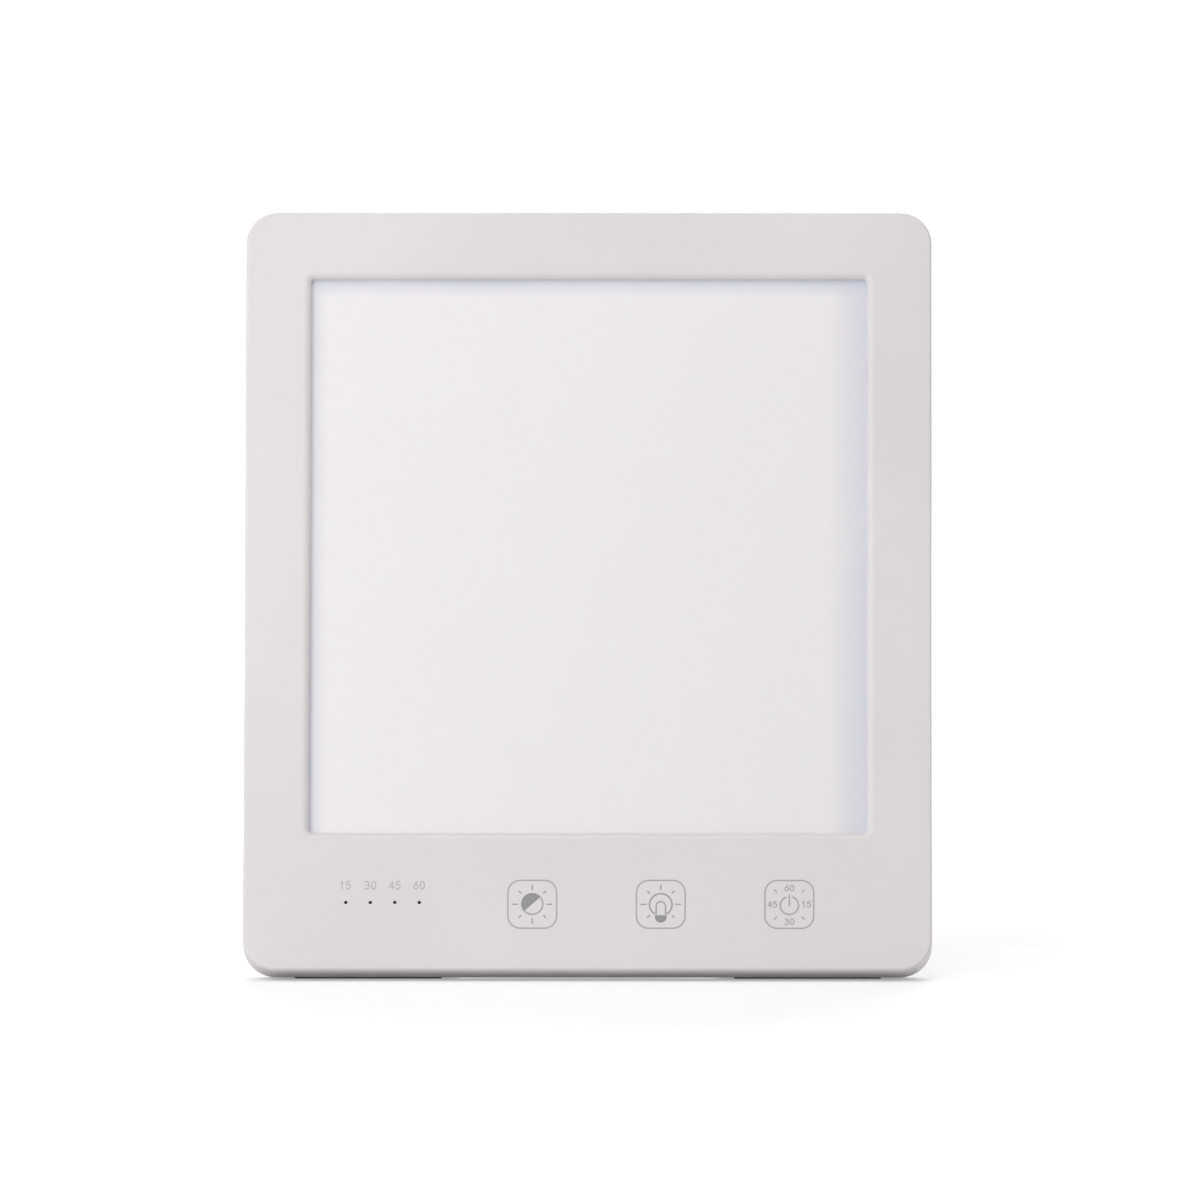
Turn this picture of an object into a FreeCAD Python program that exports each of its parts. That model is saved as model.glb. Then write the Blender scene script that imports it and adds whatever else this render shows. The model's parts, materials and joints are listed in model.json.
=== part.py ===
import FreeCAD, Part
import math
import os

# Light therapy lamp: a slim slab with a square lit window, leaning back on a fold-out stand.
# Millimetres. Each piece is drawn in the slab's own frame, where x runs to the viewer's right,
# y runs from the front face to the back and z runs up the slab from its lower edge.
# The finished pieces are then leaned back and set down on the table at z = 0.

V = FreeCAD.Vector
ORIGIN = V(0, 0, 0)
X_AXIS = V(1, 0, 0)
Y_AXIS = V(0, 1, 0)

# How far a cut runs past a face, how far a rib runs into its wall, and what counts as level
over = 1.0
merge = 0.5
tiny = 1e-4

# Slab
slab_width = 215.0
slab_height = 242.0
slab_depth = 22.0
square_depth = 12.0
lean_angle = 15.0
corner_radius = 10.0
front_edge_radius = 0.9
back_edge_radius = 1.5
shell_wall = 2.0
face_wall = 2.2
split_depth = 4.4
tongue_wall = 1.0
tongue_reach = 1.6
tongue_root = 2.0
catch_place = 62.0
catch_length = 12.0
catch_height = 0.6
catch_depth = 0.8
catch_clearance = 0.1
seam_clearance = 0.1
seam_gap = 0.3
seam_gap_depth = 0.3

# Window and the panel behind it
side_frame = 20.5
top_frame = 21.05
window_low_edge = 43.9
window_corner_radius = 1.2
lip_edge_radius = 2.4
panel_recess = 3.0
rim_width = 4.9
panel_overlap = 3.9
panel_clearance = 0.3
diffuser_thickness = 2.0
prism_thickness = 0.3
prism_trim = 0.5
guide_thickness = 3.0
reflector_thickness = 0.3
plate_thickness = 1.0
plate_bend_radius = 0.8
locator_wall = 1.2
locator_length = 30.0

# LED bars beside the light guide
chip_count = 20
chip_length = 3.0
chip_width = 1.4
chip_height = 0.8
chip_gap = 0.2
bar_thickness = 1.0
bar_end_gap = 4.5
lead_width = 2.6
lead_thickness = 0.5
tape_thickness = 0.2

# Touch fields, indicators and numerals on the lower margin
touch_height = 20.9
touch_first = -17.2
touch_pitch = 40.1
touch_count = 3
touch_pad_side = 12.0
touch_pad_thickness = 2.0
indicator_height = 21.5
indicator_first = -75.4
indicator_pitch = 7.65
indicator_count = 4
indicator_hole_radius = 0.55
light_bar_depth = 0.7
light_bar_width = 4.0
indicator_length = 1.6
indicator_width = 0.8
indicator_thickness = 0.6

# Control board
board_left_gap = 9.5
board_right_gap = 4.5
board_low = 7.0
board_high = 27.5
board_thickness = 1.2
hook_places = (-62.0, 38.0)
hook_width = 5.0
hook_wall = 1.2
hook_grip = 0.8
hook_nose = 1.2
hook_side_clearance = 0.2
hook_back_clearance = 0.1
chip_package_side = 7.0
chip_package_thickness = 1.2
chip_package_place = -40.0
inductor_side = 7.3
inductor_thickness = 4.0
inductor_place = 74.0
inductor_chamfer = 1.2
capacitor_radius = 3.15
capacitor_height = 5.6
capacitor_base = 6.6
capacitor_base_thickness = 0.8
capacitor_places = (50.0, 60.0)
part_row_height = 17.5
connector_length = 6.0
connector_width = 4.0
connector_thickness = 3.2
connector_height = 24.0

# Power socket
socket_height = 14.0
socket_side = 7.4
socket_length = 12.0
socket_snout_radius = 3.2
socket_bore_radius = 2.85
socket_bore_depth = 9.5
socket_clearance = 0.15
socket_pin_radius = 1.05
socket_shoulder_radius = 1.5
socket_pin_length = 8.0

# Screws at the housing's lower corners
housing_screw_inset = 8.0
housing_screw_height = 36.0
housing_boss_radius = 3.2
housing_boss_end = 9.0
housing_post_radius = 4.2
housing_screw_radius = 1.4
housing_head_radius = 2.7
housing_head = 2.0
housing_head_seat = 13.5
counterbore_clearance = 0.4
screw_clearance = 0.1
thread_clearance = 0.05

# Stand: a ribbed leg on a hinge pin, folding into a pocket of the back cover
hinge_height = 150.0
hinge_sink = 4.2
open_angle = 26.0
leg_width = 80.0
leg_outer = 4.0
leg_inner = 1.5
leg_skin = 2.2
leg_wall = 2.2
leg_rib_wall = 1.4
leg_ribs_across = 4
leg_ribs_along = 2
leg_rib_height = 2.2
leg_end_block = 9.0
leg_corner_radius = 12.0
leg_corner_trim = 1.0
leg_edge_radius = 0.8
barrel_radius = 4.0
heel_length = 8.0
pin_radius = 2.0
pin_running_clearance = 0.05
pin_press_clearance = 0.01
pocket_side_clearance = 1.0
pocket_depth = 7.5
pocket_wall = 1.6
pocket_clearance = 0.5
pocket_deepest = 9.7
stop_clearance = 0.05
rest_rib_width = 1.6
rest_rib_length = 40.0
rest_rib_gap = 0.3
rest_rib_low = 46.0
grip_radius = 11.0
grip_depth = 4.0
grip_height = 26.0
grip_slope = 0.5
washer_thickness = 0.8
washer_side = 5.8
washer_clearance = 0.1
hinge_boss_length = 8.0
hinge_boss_half = 5.0
hinge_boss_depth = 4.6
foot_width = 62.0
foot_thickness = 3.0
foot_proud = 0.8
foot_sink = 4.0

# Rubber pads under the sloped lower edge
pad_side_gap = 15.9
pad_width = 5.6
pad_proud = 0.6
pad_sink = 1.0
pad_end_gap = 3.0
pad_shift = 0.8
pad_bed = 1.2
pad_edge_bevel = 0.3

# Vents and stiffening ribs of the back cover
vent_width = 2.0
vent_length = 26.0
vent_pitch = 6.0
upper_vent_count = 17
upper_vent_low = 184.0
lower_vent_count = 6
lower_vent_low = 52.0
lower_vent_place = 72.0
stiffener_wall = 1.2
stiffener_height = 3.0
stiffener_place = 66.0
stiffener_pitch = 14.0
stiffener_low = 92.0
stiffener_high = 176.0
foam_side = 12.0
foam_length = 60.0
foam_low = 60.0

# Worked out from the driving sizes
half_width = slab_width / 2
half_leg = leg_width / 2
taper = math.tan(math.radians(lean_angle))
inner_back = slab_depth - shell_wall
window_half = half_width - side_frame
window_low = window_low_edge
window_high = slab_height - top_frame
panel_half = window_half + panel_overlap
panel_low = window_low - panel_overlap
panel_high = window_high + panel_overlap
diffuser_back = panel_recess + diffuser_thickness
prism_back = diffuser_back + prism_thickness
guide_back = prism_back + guide_thickness
reflector_back = guide_back + reflector_thickness
plate_back = reflector_back + plate_thickness
bar_inner = panel_half + chip_gap + chip_height
bar_outer = bar_inner + bar_thickness
flange_inner = bar_outer + tape_thickness
lead_place = (bar_inner + bar_outer) / 2
plate_half = flange_inner + plate_thickness
board_left = board_left_gap - half_width
board_right = half_width - board_right_gap
board_front = face_wall + touch_pad_thickness
board_back = board_front + board_thickness
socket_depth = board_back + socket_side / 2
socket_hole_radius = socket_snout_radius + socket_clearance
socket_inner_face = half_width - shell_wall - tongue_wall - seam_clearance - socket_clearance
socket_mouth = half_width - 0.5 * shell_wall
hinge_depth = slab_depth - hinge_sink
pocket_half = half_leg + pocket_side_clearance
pin_half_length = pocket_half + pocket_wall + hinge_boss_length
housing_screw_side = half_width - housing_screw_inset
pocket_floor = slab_depth - pocket_depth
pocket_top = hinge_height + math.hypot(heel_length, leg_outer) + pocket_clearance
touch_places = [touch_first + touch_pitch * i for i in range(touch_count)]
indicator_places = [indicator_first + indicator_pitch * i for i in range(indicator_count)]
leg_tilt = math.radians(open_angle - lean_angle)
lean = math.radians(lean_angle)
table_drop = square_depth * math.sin(lean) + pad_proud
hinge_rise = hinge_height * math.cos(lean) - hinge_depth * math.sin(lean) + table_drop
foot_reach = hinge_rise / math.cos(leg_tilt)
leg_reach = (hinge_rise - foot_proud) / math.cos(leg_tilt)


def block(x0, x1, y0, y1, z0, z1):
    """Box between two corners."""
    return Part.makeBox(x1 - x0, y1 - y0, z1 - z0, V(x0, y0, z0))


def drum(radius, start, axis, length):
    """Cylinder from a start point along an axis."""
    return Part.makeCylinder(radius, length, start, axis)


def rounded_wire(x0, x1, z0, z1, radius, y):
    """Rounded rectangle that lies square to the depth axis."""
    corners = (
        (x1 - radius, z0 + radius, 270),
        (x1 - radius, z1 - radius, 0),
        (x0 + radius, z1 - radius, 90),
        (x0 + radius, z0 + radius, 180),
    )
    arcs = []
    for cx, cz, start in corners:
        turns = [math.radians(start + step) for step in (0, 45, 90)]
        arcs.append([V(cx + radius * math.cos(t), y, cz + radius * math.sin(t)) for t in turns])
    edges = []
    for i, points in enumerate(arcs):
        edges.append(Part.Arc(*points).toShape())
        edges.append(Part.makeLine(points[2], arcs[(i + 1) % len(arcs)][0]))
    return Part.Wire(edges)


def prism(x0, x1, z0, z1, radius, y0, y1):
    """Rounded rectangle drawn along the depth axis."""
    face = Part.Face(rounded_wire(x0, x1, z0, z1, radius, y0))
    return face.extrude(V(0, y1 - y0, 0))


def slab_wire(inset, y):
    """The slab's outline, drawn in on every side."""
    return rounded_wire(
        -half_width + inset, half_width - inset, inset, slab_height - inset, corner_radius - inset, y
    )


def slab_prism(inset, y0, y1):
    """Straight-sided length of the slab, drawn in on every side."""
    return Part.Face(slab_wire(inset, y0)).extrude(V(0, y1 - y0, 0))


def slab_taper(inset, y0, y1):
    """Tapered back length of the slab, whose sides slope by the lean angle."""
    narrow = inset + (y1 - y0) * taper
    return Part.makeLoft([slab_wire(inset, y0), slab_wire(narrow, y1)], True, True)


def yz_prism(points, x0, x1):
    """Outline in the depth and height plane, drawn sideways."""
    corners = [V(x0, y, z) for y, z in points]
    face = Part.Face(Part.makePolygon(corners + corners[:1]))
    return face.extrude(V(x1 - x0, 0, 0))


def edges_at_depth(shape, y):
    """Edges that lie wholly at one depth."""
    return [e for e in shape.Edges if abs(e.BoundBox.YMin - y) < tiny and abs(e.BoundBox.YMax - y) < tiny]


def fuse_all(shapes):
    """One solid from overlapping or touching solids."""
    return shapes[0].multiFuse(shapes[1:]).removeSplitter()


def open_leg(shape):
    """Turn a piece drawn with the leg hanging straight down into the leg's open pose."""
    turned = shape.copy()
    turned.rotate(ORIGIN, X_AXIS, open_angle)
    turned.translate(V(0, hinge_depth, hinge_height))
    return turned


def stand_up(shape):
    """Lean a piece of the slab back and set it on the table."""
    moved = shape.copy()
    moved.rotate(ORIGIN, X_AXIS, -lean_angle)
    moved.translate(V(0, 0, table_drop))
    return moved


def lay_back(shape):
    """Undo stand_up, for what is drawn square to the table."""
    moved = shape.copy()
    moved.translate(V(0, 0, -table_drop))
    moved.rotate(ORIGIN, X_AXIS, lean_angle)
    return moved


def screw(place, axis, head_radius, head_height, shank_radius, length):
    """Screw whose head seats at a place and whose shank runs along an axis."""
    head = drum(head_radius, place, axis * -1, head_height)
    return fuse_all([head, drum(shank_radius, place, axis, length)])


def housing_screw_places():
    """Sideways and upward places of the housing screws."""
    return [(side * housing_screw_side, housing_screw_height) for side in (-1, 1)]


def window_opening():
    """The window's cut, straight through to the panel."""
    outline = rounded_wire(-window_half, window_half, window_low, window_high, window_corner_radius, 0)
    return Part.Face(outline).extrude(V(0, panel_recess, 0))


def window_edges(shell):
    """Front edges round the window."""
    limit = window_half + tiny
    return [e for e in edges_at_depth(shell, 0) if max(-e.BoundBox.XMin, e.BoundBox.XMax) < limit]


def front_bezel():
    """Front frame: shallow moulded shell with the window, its rim, bosses, hooks and locating ribs."""
    outer = slab_prism(0, 0, split_depth)
    outer = outer.makeFillet(front_edge_radius, edges_at_depth(outer, 0))
    shell = outer.cut(slab_prism(shell_wall, face_wall, split_depth + over))
    half = window_half + rim_width
    added = [block(-half, half, face_wall, panel_recess, window_low - rim_width, window_high + rim_width)]
    for x, z in housing_screw_places():
        added.append(drum(housing_boss_radius, V(x, face_wall, z), Y_AXIS, housing_boss_end - face_wall))
    added += locating_ribs() + board_hooks()
    shell = shell.multiFuse(added).cut(window_opening())
    shell = shell.makeFillet(lip_edge_radius, window_edges(shell))
    cuts = catches(catch_clearance)
    for x, z in housing_screw_places():
        start = V(x, face_wall, z)
        cuts.append(drum(housing_screw_radius + thread_clearance, start, Y_AXIS, housing_boss_end))
    for x in indicator_places:
        cuts.append(drum(indicator_hole_radius, V(x, -over, indicator_height), Y_AXIS,
                         face_wall + 2 * over))
    return shell.cut(cuts).removeSplitter()


def locating_ribs():
    """Short ribs beside each corner of the panel that hold it in place."""
    ribs = []
    inner = panel_half + panel_clearance
    low = panel_low - panel_clearance
    high = panel_high + panel_clearance
    for side in (-1, 1):
        x0, x1 = sorted((side * inner, side * (inner + locator_wall)))
        for z0 in (low, high - locator_length):
            ribs.append(block(x0, x1, face_wall, diffuser_back, z0, z0 + locator_length))
        x0, x1 = sorted((side * (inner - locator_length), side * (inner + locator_wall)))
        ribs.append(block(x0, x1, face_wall, diffuser_back, high, high + locator_wall))
        ribs.append(block(x0, x1, face_wall, diffuser_back, low - locator_wall, low))
    return ribs


def board_hooks():
    """Posts that carry the control board, each with a snap hook over the board's edge."""
    hooks = []
    behind = board_back + hook_back_clearance
    for x in hook_places:
        for edge, outward in ((board_low, -1), (board_high, 1)):
            inside = edge - outward * hook_grip
            beside = edge + outward * hook_side_clearance
            outside = beside + outward * hook_wall
            points = [(face_wall, inside), (board_front, inside), (board_front, beside),
                      (behind, beside), (behind, inside),
                      (behind + hook_nose, beside), (behind + hook_nose, outside),
                      (face_wall, outside)]
            hooks.append(yz_prism(points, x - hook_width / 2, x + hook_width / 2))
    return hooks


def catches(grow):
    """Snap catches along the top of the cover's tongue, grown by a clearance for their recesses."""
    front = split_depth - tongue_reach
    wall_inside = slab_height - shell_wall
    return [
        block(x - catch_length / 2 - grow, x + catch_length / 2 + grow, front - grow,
              front + catch_depth + grow, wall_inside - seam_clearance - merge,
              wall_inside + catch_height + grow)
        for x in (-catch_place, catch_place)
    ]


def panel_sheet(y0, y1, trim):
    """One sheet of the optical stack."""
    return block(-panel_half + trim, panel_half - trim, y0, y1, panel_low + trim, panel_high - trim)


def led_bar(side):
    """Aluminium-cored strip that stands on edge beside the light guide."""
    x0, x1 = sorted((side * bar_inner, side * bar_outer))
    return block(x0, x1, diffuser_back, reflector_back, panel_low + bar_end_gap, panel_high - bar_end_gap)


def led_chips(side):
    """Row of LED chips facing the light guide's edge."""
    x0, x1 = sorted((side * (bar_inner - chip_height), side * bar_inner))
    low = panel_low + 2 * bar_end_gap
    pitch = (panel_high - panel_low - 4 * bar_end_gap) / (chip_count - 1)
    y0 = (prism_back + guide_back - chip_width) / 2
    chips = []
    for i in range(chip_count):
        middle = low + pitch * i
        chips.append(block(x0, x1, y0, y0 + chip_width, middle - chip_length / 2, middle + chip_length / 2))
    return Part.makeCompound(chips)


def thermal_tapes():
    """Thin tapes that carry heat from the LED bars to the plate's flanges."""
    tapes = []
    for side in (-1, 1):
        x0, x1 = sorted((side * bar_outer, side * flange_inner))
        tapes.append(block(x0, x1, diffuser_back, reflector_back, panel_low + bar_end_gap,
                           panel_high - bar_end_gap))
    return Part.makeCompound(tapes)


def heat_plate():
    """Folded aluminium sheet behind the stack, with a flange against each LED bar."""
    blank = block(-plate_half, plate_half, diffuser_back, plate_back, panel_low, panel_high)
    bends = [e for e in blank.Edges
             if abs(e.BoundBox.YMin - plate_back) < tiny and abs(e.BoundBox.XLength) < tiny]
    blank = blank.makeFillet(plate_bend_radius, bends)
    return blank.cut(block(-flange_inner, flange_inner, diffuser_back - over, reflector_back,
                           panel_low - over, panel_high + over))


def control_board():
    """Control board, held by its hooks along both long edges."""
    return block(board_left, board_right, board_front, board_back, board_low, board_high)


def touch_pads():
    """Conductive foam between the touch fields and the board."""
    half = touch_pad_side / 2
    return Part.makeCompound([
        block(x - half, x + half, face_wall, board_front, touch_height - half, touch_height + half)
        for x in touch_places
    ])


def indicator_leds():
    """Small LEDs on the board's front, one behind each pinhole."""
    return Part.makeCompound([
        block(x - indicator_length / 2, x + indicator_length / 2, board_front - indicator_thickness,
              board_front, indicator_height - indicator_width / 2, indicator_height + indicator_width / 2)
        for x in indicator_places
    ])


def light_pipe():
    """Clear bar across the back of the pinholes."""
    half = light_bar_width / 2
    return block(indicator_places[0] - half, indicator_places[-1] + half, face_wall,
                 face_wall + light_bar_depth, indicator_height - half, indicator_height + half)


def board_chip():
    """Flat square chip package on the board's back."""
    half = chip_package_side / 2
    return block(chip_package_place - half, chip_package_place + half, board_back,
                 board_back + chip_package_thickness, part_row_height - half, part_row_height + half)


def boost_inductor():
    """Shielded power inductor with cut corners."""
    half = inductor_side / 2
    body = block(inductor_place - half, inductor_place + half, board_back, board_back + inductor_thickness,
                 part_row_height - half, part_row_height + half)
    uprights = [e for e in body.Edges if e.BoundBox.YLength > inductor_thickness / 2]
    return body.makeChamfer(inductor_chamfer, uprights)


def board_capacitors():
    """Can capacitors on square bases."""
    half = capacitor_base / 2
    cans = []
    for x in capacitor_places:
        base = block(x - half, x + half, board_back, board_back + capacitor_base_thickness,
                     part_row_height - half, part_row_height + half)
        can = drum(capacitor_radius, V(x, board_back, part_row_height), Y_AXIS, capacitor_height)
        cans.append(fuse_all([base, can]))
    return Part.makeCompound(cans)


def lead_connectors():
    """Plug connectors of the LED leads."""
    half = connector_length / 2
    return Part.makeCompound([
        block(x - half, x + half, board_back, board_back + connector_thickness,
              connector_height - connector_width / 2, connector_height + connector_width / 2)
        for x in (-lead_place, lead_place)
    ])


def led_leads():
    """Flat leads that run straight up from the connectors to the feet of the LED bars."""
    low = connector_height + connector_width / 2
    high = panel_low + bar_end_gap
    depth = board_back + (connector_thickness - lead_width) / 2
    return Part.makeCompound([
        block(x - lead_thickness / 2, x + lead_thickness / 2, depth, depth + lead_width, low, high)
        for x in (-lead_place, lead_place)
    ])


def back_outer():
    """Outside of the back cover."""
    seam = slab_prism(seam_gap_depth, split_depth, split_depth + seam_gap)
    straight = slab_prism(0, split_depth + seam_gap, square_depth)
    tapered = slab_taper(0, square_depth, slab_depth)
    tapered = tapered.makeFillet(back_edge_radius, edges_at_depth(tapered, slab_depth))
    return fuse_all([seam, straight, tapered])


def back_inner():
    """Hollow of the back cover."""
    straight = slab_prism(shell_wall, split_depth - over, square_depth)
    tapered = slab_taper(shell_wall, square_depth, inner_back)
    return straight.fuse(tapered).removeSplitter()


def pocket_space(grow):
    """Room for the folded leg, its barrel and the swing of its heel, grown by a wall."""
    half = pocket_half + grow
    beyond = 2 * slab_depth
    floor = block(-half, half, pocket_floor - grow, beyond, -slab_depth, hinge_height)
    barrel_start = V(-half, hinge_depth, hinge_height)
    barrel = drum(barrel_radius + pocket_clearance + grow, barrel_start, X_AXIS, 2 * half)
    heel = block(-half, half, pocket_floor - grow, beyond, hinge_height, pocket_top + grow)
    swing = block(-half, half, -leg_inner - stop_clearance - grow, beyond, 0, 2 * heel_length)
    room = block(-half, half, slab_depth - pocket_deepest - grow, beyond, hinge_height, pocket_top + grow)
    ramp = open_leg(swing).common(room)
    folded = block(-half, half, hinge_depth - leg_inner - pocket_clearance - grow, beyond,
                   hinge_height, pocket_top + grow)
    heel = heel.common(open_leg(swing))
    return fuse_all([floor, barrel, ramp, folded, heel])


def pad_ends(side):
    """Sideways ends of one rubber pad under the lower edge."""
    inner = pocket_half + pocket_wall + pad_end_gap
    return sorted((side * inner, side * (half_width - pad_side_gap)))


def pad_block(side, low, high, margin):
    """Block square to the table around one rubber pad."""
    x0, x1 = pad_ends(side)
    middle = (square_depth + slab_depth) / 2 / math.cos(lean) - pad_shift
    y0 = middle - pad_width / 2 - margin
    return block(x0 - margin, x1 + margin, y0, y0 + pad_width + 2 * margin, low, high)


def foot_pads():
    """Two rubber pads that stand on the table."""
    pads = []
    for side in (-1, 1):
        pad = pad_block(side, 0, pad_proud + pad_sink, 0)
        rim = [e for e in pad.Edges if e.BoundBox.ZMax < tiny]
        pads.append(lay_back(pad.makeChamfer(pad_edge_bevel, rim)))
    return Part.makeCompound(pads)


def vent_slots():
    """Cooling slots through the back wall."""
    slots = []
    y0 = inner_back - over
    y1 = slab_depth + over
    rows = [(0.0, upper_vent_low, upper_vent_count)]
    rows += [(side * lower_vent_place, lower_vent_low, lower_vent_count) for side in (-1, 1)]
    for middle, low, count in rows:
        for i in range(count):
            x = middle + vent_pitch * (i - (count - 1) / 2)
            slots.append(block(x - vent_width / 2, x + vent_width / 2, y0, y1, low, low + vent_length))
    return slots


def stiffeners():
    """Upright ribs inside the back wall."""
    ribs = []
    for side in (-1, 1):
        for place in (stiffener_place, stiffener_place + stiffener_pitch):
            x = side * place
            ribs.append(block(x - stiffener_wall / 2, x + stiffener_wall / 2, inner_back - stiffener_height,
                              inner_back + merge, stiffener_low, stiffener_high))
    return ribs


def hinge_boss(side):
    """Block beside the pocket that the hinge pin is pressed into."""
    inner = pocket_half + pocket_wall - merge
    x0, x1 = sorted((side * inner, side * pin_half_length))
    return block(x0, x1, hinge_depth - hinge_boss_depth, inner_back + merge, hinge_height - hinge_boss_half,
                 hinge_height + hinge_boss_half)


def back_cover():
    """Moulded back shell with the stand pocket, screw posts, hinge bosses, ribs and vents."""
    outer = back_outer()
    shell = outer.cut(back_inner())
    tongue_out = shell_wall + seam_clearance
    tongue_in = tongue_out + tongue_wall
    tongue = slab_prism(tongue_out, split_depth - tongue_reach, split_depth)
    root = slab_prism(shell_wall, split_depth, split_depth + tongue_root)
    bore = slab_prism(tongue_in, split_depth - tongue_reach - over, split_depth + tongue_root + over)
    ring = tongue.fuse(root).cut(bore)
    added = [ring, pocket_space(pocket_wall).common(outer), grip_hollow(pocket_wall).common(outer)]
    for x, z in housing_screw_places():
        post = drum(housing_post_radius, V(x, housing_boss_end, z), Y_AXIS, slab_depth - housing_boss_end)
        added.append(post.common(outer))
    for side in (-1, 1):
        added.append(hinge_boss(side))
        bed = lay_back(pad_block(side, 0, pad_proud + pad_sink + pad_bed, pad_bed))
        added.append(bed.common(outer))
    added += stiffeners() + catches(0)
    shell = shell.multiFuse(added)
    cuts = [pocket_space(0), grip_hollow(0)]
    for x, z in housing_screw_places():
        cuts.append(drum(housing_screw_radius + screw_clearance, V(x, housing_boss_end - over, z), Y_AXIS,
                         housing_head_seat - housing_boss_end + 2 * over))
        cuts.append(drum(housing_head_radius + counterbore_clearance, V(x, housing_head_seat, z), Y_AXIS,
                         slab_depth))
    cuts.append(drum(pin_radius + pin_press_clearance, V(-pin_half_length, hinge_depth, hinge_height),
                     X_AXIS, 2 * pin_half_length))
    for side in (-1, 1):
        cuts.append(lay_back(pad_block(side, -over, pad_proud + pad_sink, 0)))
    cuts.append(drum(socket_hole_radius, V(socket_inner_face - over, socket_depth, socket_height), X_AXIS,
                     half_width))
    reach = socket_side / 2 + socket_clearance
    cuts.append(block(socket_inner_face - over, half_width - shell_wall, socket_depth - reach,
                      socket_depth + reach, socket_height - reach, socket_height + reach))
    cuts += vent_slots()
    shell = shell.cut(cuts)
    return shell.fuse(rest_ribs()).removeSplitter()


def grip_hollow(grow):
    """Finger hollows beside the leg's end, grown by a wall."""
    hollows = []
    for side in (-1, 1):
        start = V(side * pocket_half, slab_depth - grip_depth - grow, grip_height)
        floor_radius = grip_radius - grip_depth * grip_slope + grow
        mouth_radius = grip_radius + grow * (1 + grip_slope)
        hollows.append(Part.makeCone(floor_radius, mouth_radius, grip_depth + grow, start, Y_AXIS))
    return hollows[0].fuse(hollows[1])


def rest_ribs():
    """Low ribs on the pocket's floor that the folded leg rests on."""
    ribs = []
    top = hinge_depth - leg_inner - rest_rib_gap
    for side in (-1, 1):
        x = side * (half_leg - leg_wall / 2)
        ribs.append(block(x - rest_rib_width / 2, x + rest_rib_width / 2, pocket_floor - pocket_wall / 2, top,
                          rest_rib_low, rest_rib_low + rest_rib_length))
    return ribs


def housing_screws():
    """Screws from the back that join the cover to the bezel."""
    length = housing_head_seat - face_wall - over
    return Part.makeCompound([
        screw(V(x, housing_head_seat, z), Y_AXIS * -1, housing_head_radius, housing_head,
              housing_screw_radius, length)
        for x, z in housing_screw_places()
    ])


def hinge_pin():
    """Steel pin that the leg turns on."""
    return drum(pin_radius, V(-pin_half_length, hinge_depth, hinge_height), X_AXIS, 2 * pin_half_length)


def friction_washers():
    """Square washers between the leg and the pocket's sides, which give the hinge its drag."""
    washers = []
    half = washer_side / 2
    for side in (-1, 1):
        near = half_leg + washer_clearance
        x0, x1 = sorted((side * near, side * (near + washer_thickness)))
        plate = block(x0, x1, hinge_depth - half, hinge_depth + half, hinge_height - half,
                      hinge_height + half)
        hole = drum(pin_radius + pin_running_clearance, V(x0 - over, hinge_depth, hinge_height), X_AXIS,
                    washer_thickness + 2 * over)
        washers.append(plate.cut(hole))
    return Part.makeCompound(washers)


def leg_profile(half, reach):
    """Side outline of the leg's plate, whose end is level with the table when the leg is open."""
    slope = math.tan(leg_tilt)
    points = [(-leg_inner, heel_length), (leg_outer, heel_length)]
    points += [(leg_outer, -reach - leg_outer * slope), (-leg_inner, -reach + leg_inner * slope)]
    return yz_prism(points, -half, half)


def leg_face_outline():
    """Front outline of the leg, with its lower corners rounded."""
    low = -2 * leg_reach
    high = 2 * heel_length
    tall = prism(-half_leg, half_leg, low, high, leg_corner_radius, -slab_depth, slab_depth)
    tip = leg_reach + leg_outer * math.tan(leg_tilt)
    tall.translate(V(0, 0, -tip - leg_corner_trim - low))
    return tall


def stand_leg():
    """Moulded leg: a skin with side walls and ribs on its hidden face, a barrel and a stop heel."""
    plate = leg_profile(half_leg, leg_reach).common(leg_face_outline())
    back_rim = [e for e in edges_at_depth(plate, leg_outer) if e.BoundBox.ZMin < -leg_corner_radius]
    plate = plate.makeFillet(leg_edge_radius, back_rim)
    barrel = drum(barrel_radius, V(-half_leg, 0, 0), X_AXIS, leg_width)
    top = -barrel_radius - leg_wall
    low = -leg_reach + leg_end_block
    inner = half_leg - leg_wall
    hollow = block(-inner, inner, -leg_inner - over, leg_outer - leg_skin, low, top)
    ribs = []
    rib_front = leg_outer - leg_skin - leg_rib_height
    for i in range(leg_ribs_across):
        z = low + (top - low) * (i + 1) / (leg_ribs_across + 1)
        ribs.append(block(-inner, inner, rib_front, leg_outer - leg_skin, z - leg_rib_wall / 2,
                          z + leg_rib_wall / 2))
    for i in range(leg_ribs_along):
        x = -inner + 2 * inner * (i + 1) / (leg_ribs_along + 1)
        ribs.append(block(x - leg_rib_wall / 2, x + leg_rib_wall / 2, rib_front, leg_outer - leg_skin,
                          low, top))
    leg = plate.cut(hollow).multiFuse(ribs + [barrel])
    bore = drum(pin_radius + pin_running_clearance, V(-half_leg - over, 0, 0), X_AXIS, leg_width + 2 * over)
    return leg.cut([bore, stand_foot_shape()]).removeSplitter()


def stand_foot_shape():
    """Rubber strip let into the end of the leg, drawn with the leg hanging straight down."""
    slope = math.tan(leg_tilt)
    middle = (leg_outer - leg_inner) / 2
    y0 = middle - foot_thickness / 2
    y1 = middle + foot_thickness / 2
    top = -leg_reach + foot_sink
    points = [(y0, top), (y1, top), (y1, -foot_reach - y1 * slope), (y0, -foot_reach - y0 * slope)]
    return yz_prism(points, -foot_width / 2, foot_width / 2)


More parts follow.
